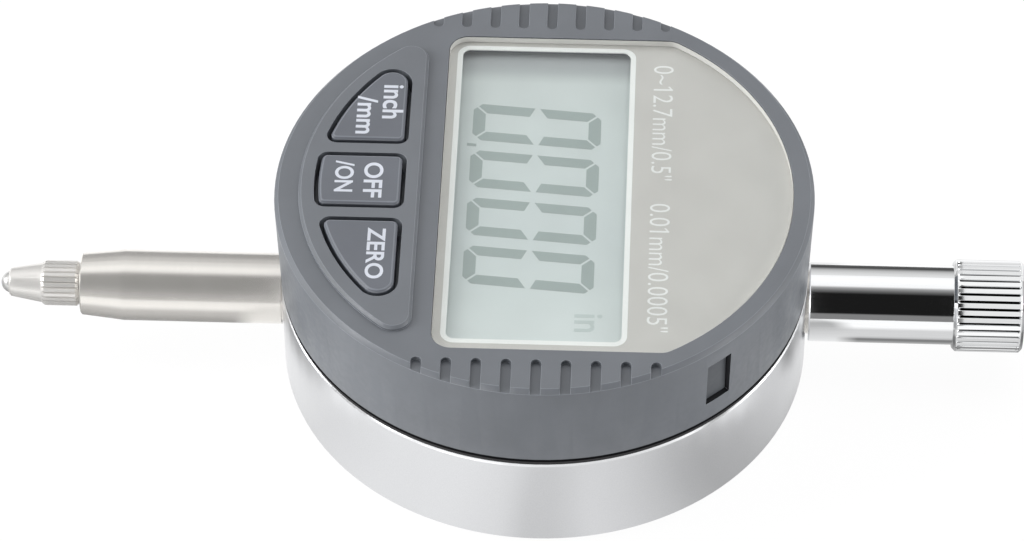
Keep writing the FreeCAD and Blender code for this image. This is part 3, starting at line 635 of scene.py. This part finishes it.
cardShape = {"radius": 30.0, "steps": 36}
cards = {  # start, end and radius of the piece they are for, in mm, then brightness by angle, as for the room
    "stemCard": (-110, -30.2, 4.0, [
        (0, 0.43), (16, 0.27), (29, 0.2), (68, 0.18), (80, 0.2), (85, 0.35), (90, 0.8), (96, 1.15),
        (109, 1.15), (124, 0.8), (142, 0.58), (155, 0.4), (163, 0.27), (180, 0.27)]),
    "tubeCard": (30.2, 48.2, 4.45, [
        (0, 0.25), (12, 0.25), (16, 0.012), (73, 0.012), (82, 0.16), (91, 0.4), (97, 1.1), (120, 1.2),
        (131, 1.05), (142, 0.8), (156, 0.58), (164, 0.3), (171, 0.06), (180, 0.12)]),
    "capCard": (48.2, 75, 5.0, [(0, 0.8), (30, 0.95), (60, 0.9), (100, 1.1), (140, 0.9), (180, 0.8)]),
}


def cardTurn(turn, pieceRadius):  # where on a card the camera's ray ends that leaves the piece at this angle
    shift = pieceRadius / cardShape["radius"] * math.sin(math.radians((viewpoint["elevation"] - turn) / 2))
    return turn + math.degrees(math.asin(shift))


def cardMaterial(name, pieceRadius, stops):
    made = newMaterial(name)
    tree = made.node_tree
    parts = splitAxes(tree)
    angle = radialPlace(tree, parts["X"], parts["Z"])
    glow = addNode(tree, "ShaderNodeEmission")
    levels = [(turnPlace(cardTurn(turn, pieceRadius)), grey(level)) for turn, level in stops]
    tree.links.new(colourRamp(tree, angle, levels), glow.inputs["Color"])
    return finishMaterial(made, glow.outputs[0])


def addCard(name, start, end, pieceRadius, stops, axis):  # half a tube over the spindle line, for mirrors alone
    made = bmesh.new()
    rows = []
    for i in range(cardShape["steps"] + 1):
        turn = math.pi * i / cardShape["steps"]
        x, z = (cardShape["radius"] * mm * part for part in (math.cos(turn), math.sin(turn)))
        rows.append([made.verts.new((x, y * mm, z)) for y in (start, end)])
    for low, high in zip(rows, rows[1:]):
        made.faces.new((low[0], low[1], high[1], high[0]))
    mesh = endMesh(made, name)
    mesh.materials.append(cardMaterial(name, pieceRadius, stops))
    card = addObject(name, mesh)
    card.location.z = axis
    for kind in ("camera", "diffuse", "shadow", "transmission", "volume_scatter"):
        setattr(card, "visible_" + kind, False)


low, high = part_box("dust_tube")
for cardName, (start, end, pieceRadius, stops) in cards.items():
    addCard(cardName, start, end, pieceRadius, stops, (low.z + high.z) / 2)

paleFloor = {
    "matt": 0.9, "glow": 0.9, "white": 1.04,  # the camera sees mostly plain white
    "ring": [  # brightness in the metals by angle from +X towards +Y, near the case
        (-90, 1.1), (-60, 0.9), (-40, 1.0), (-20, 1.0), (-8, 0.92), (-2, 0.74), (4, 0.75), (13, 0.88), (22, 0.8),
        (31, 0.68), (38, 0.56), (45, 0.5), (56, 0.54), (70, 0.7), (90, 0.95)],
    "stemSide": [  # by X in mm, beyond the case
        (0, 0.34), (4, 0.34), (7.8, 0.53), (12.6, 0.64), (16, 1.0), (20, 1.25), (40, 1.15)],
    "tubeSide": [
        (0, 0.45), (2.1, 0.45), (4, 0.25), (5.3, 0.24), (6.5, 0.6), (8, 0.76), (15, 0.75), (18, 0.95),
        (21.6, 1.15), (40, 1.15)],
    "reach": 40.0, "inner": 33.0, "outer": 35.5,  # in mm: X of the last stop, then Y where the sides begin
    "size": 3.0,  # half its width, in metres
}


def floorGlow(tree, look):  # what the metals mirror of the floor
    parts = splitAxes(tree)
    angle = radialPlace(tree, parts["X"], parts["Y"])
    ring = colourRamp(tree, angle, [(turnPlace(turn), grey(level)) for turn, level in look["ring"]])
    across = spread(tree, calculate(tree, "ABSOLUTE", parts["X"]), 0, 1, 0, look["reach"] * mm)
    sides = [colourRamp(tree, across, [(x / look["reach"], grey(level)) for x, level in look[side]])
             for side in ("stemSide", "tubeSide")]
    length = calculate(tree, "ABSOLUTE", parts["Y"])
    beyond = spread(tree, length, 0, 1, look["inner"] * mm, look["outer"] * mm)
    towardsTube = spread(tree, parts["Y"], 0, 1, -mm, mm)
    glow = addNode(tree, "ShaderNodeEmission")
    tree.links.new(mixColour(tree, beyond, ring, mixColour(tree, towardsTube, *sides)), glow.inputs["Color"])
    return glow.outputs[0]


def floorMaterial(look):
    made = newMaterial("paleFloor")
    tree = made.node_tree
    rays = addNode(tree, "ShaderNodeLightPath").outputs
    matt = addNode(tree, "ShaderNodeBsdfDiffuse", Color=grey(look["matt"])).outputs[0]
    white = addNode(tree, "ShaderNodeEmission", Color=grey(1.0), Strength=look["white"]).outputs[0]
    whiteShare = calculate(tree, "MULTIPLY", rays["Is Camera Ray"], look["glow"])
    plain = mixShaders(tree, whiteShare, matt, white)
    return finishMaterial(made, mixShaders(tree, rays["Is Glossy Ray"], plain, floorGlow(tree, look)))


def addFloor(look):
    made = bmesh.new()
    size = look["size"]
    corners = ((-size, -size), (size, -size), (size, size), (-size, size))
    made.faces.new([made.verts.new((x, y, 0)) for x, y in corners])
    mesh = endMesh(made, "floor")
    mesh.materials.append(floorMaterial(look))
    floor = addObject("floor", mesh)


addFloor(paleFloor)
bpy.context.scene.view_settings.view_transform = "Standard"
print("studio ready")

bpy.context.view_layer.update()
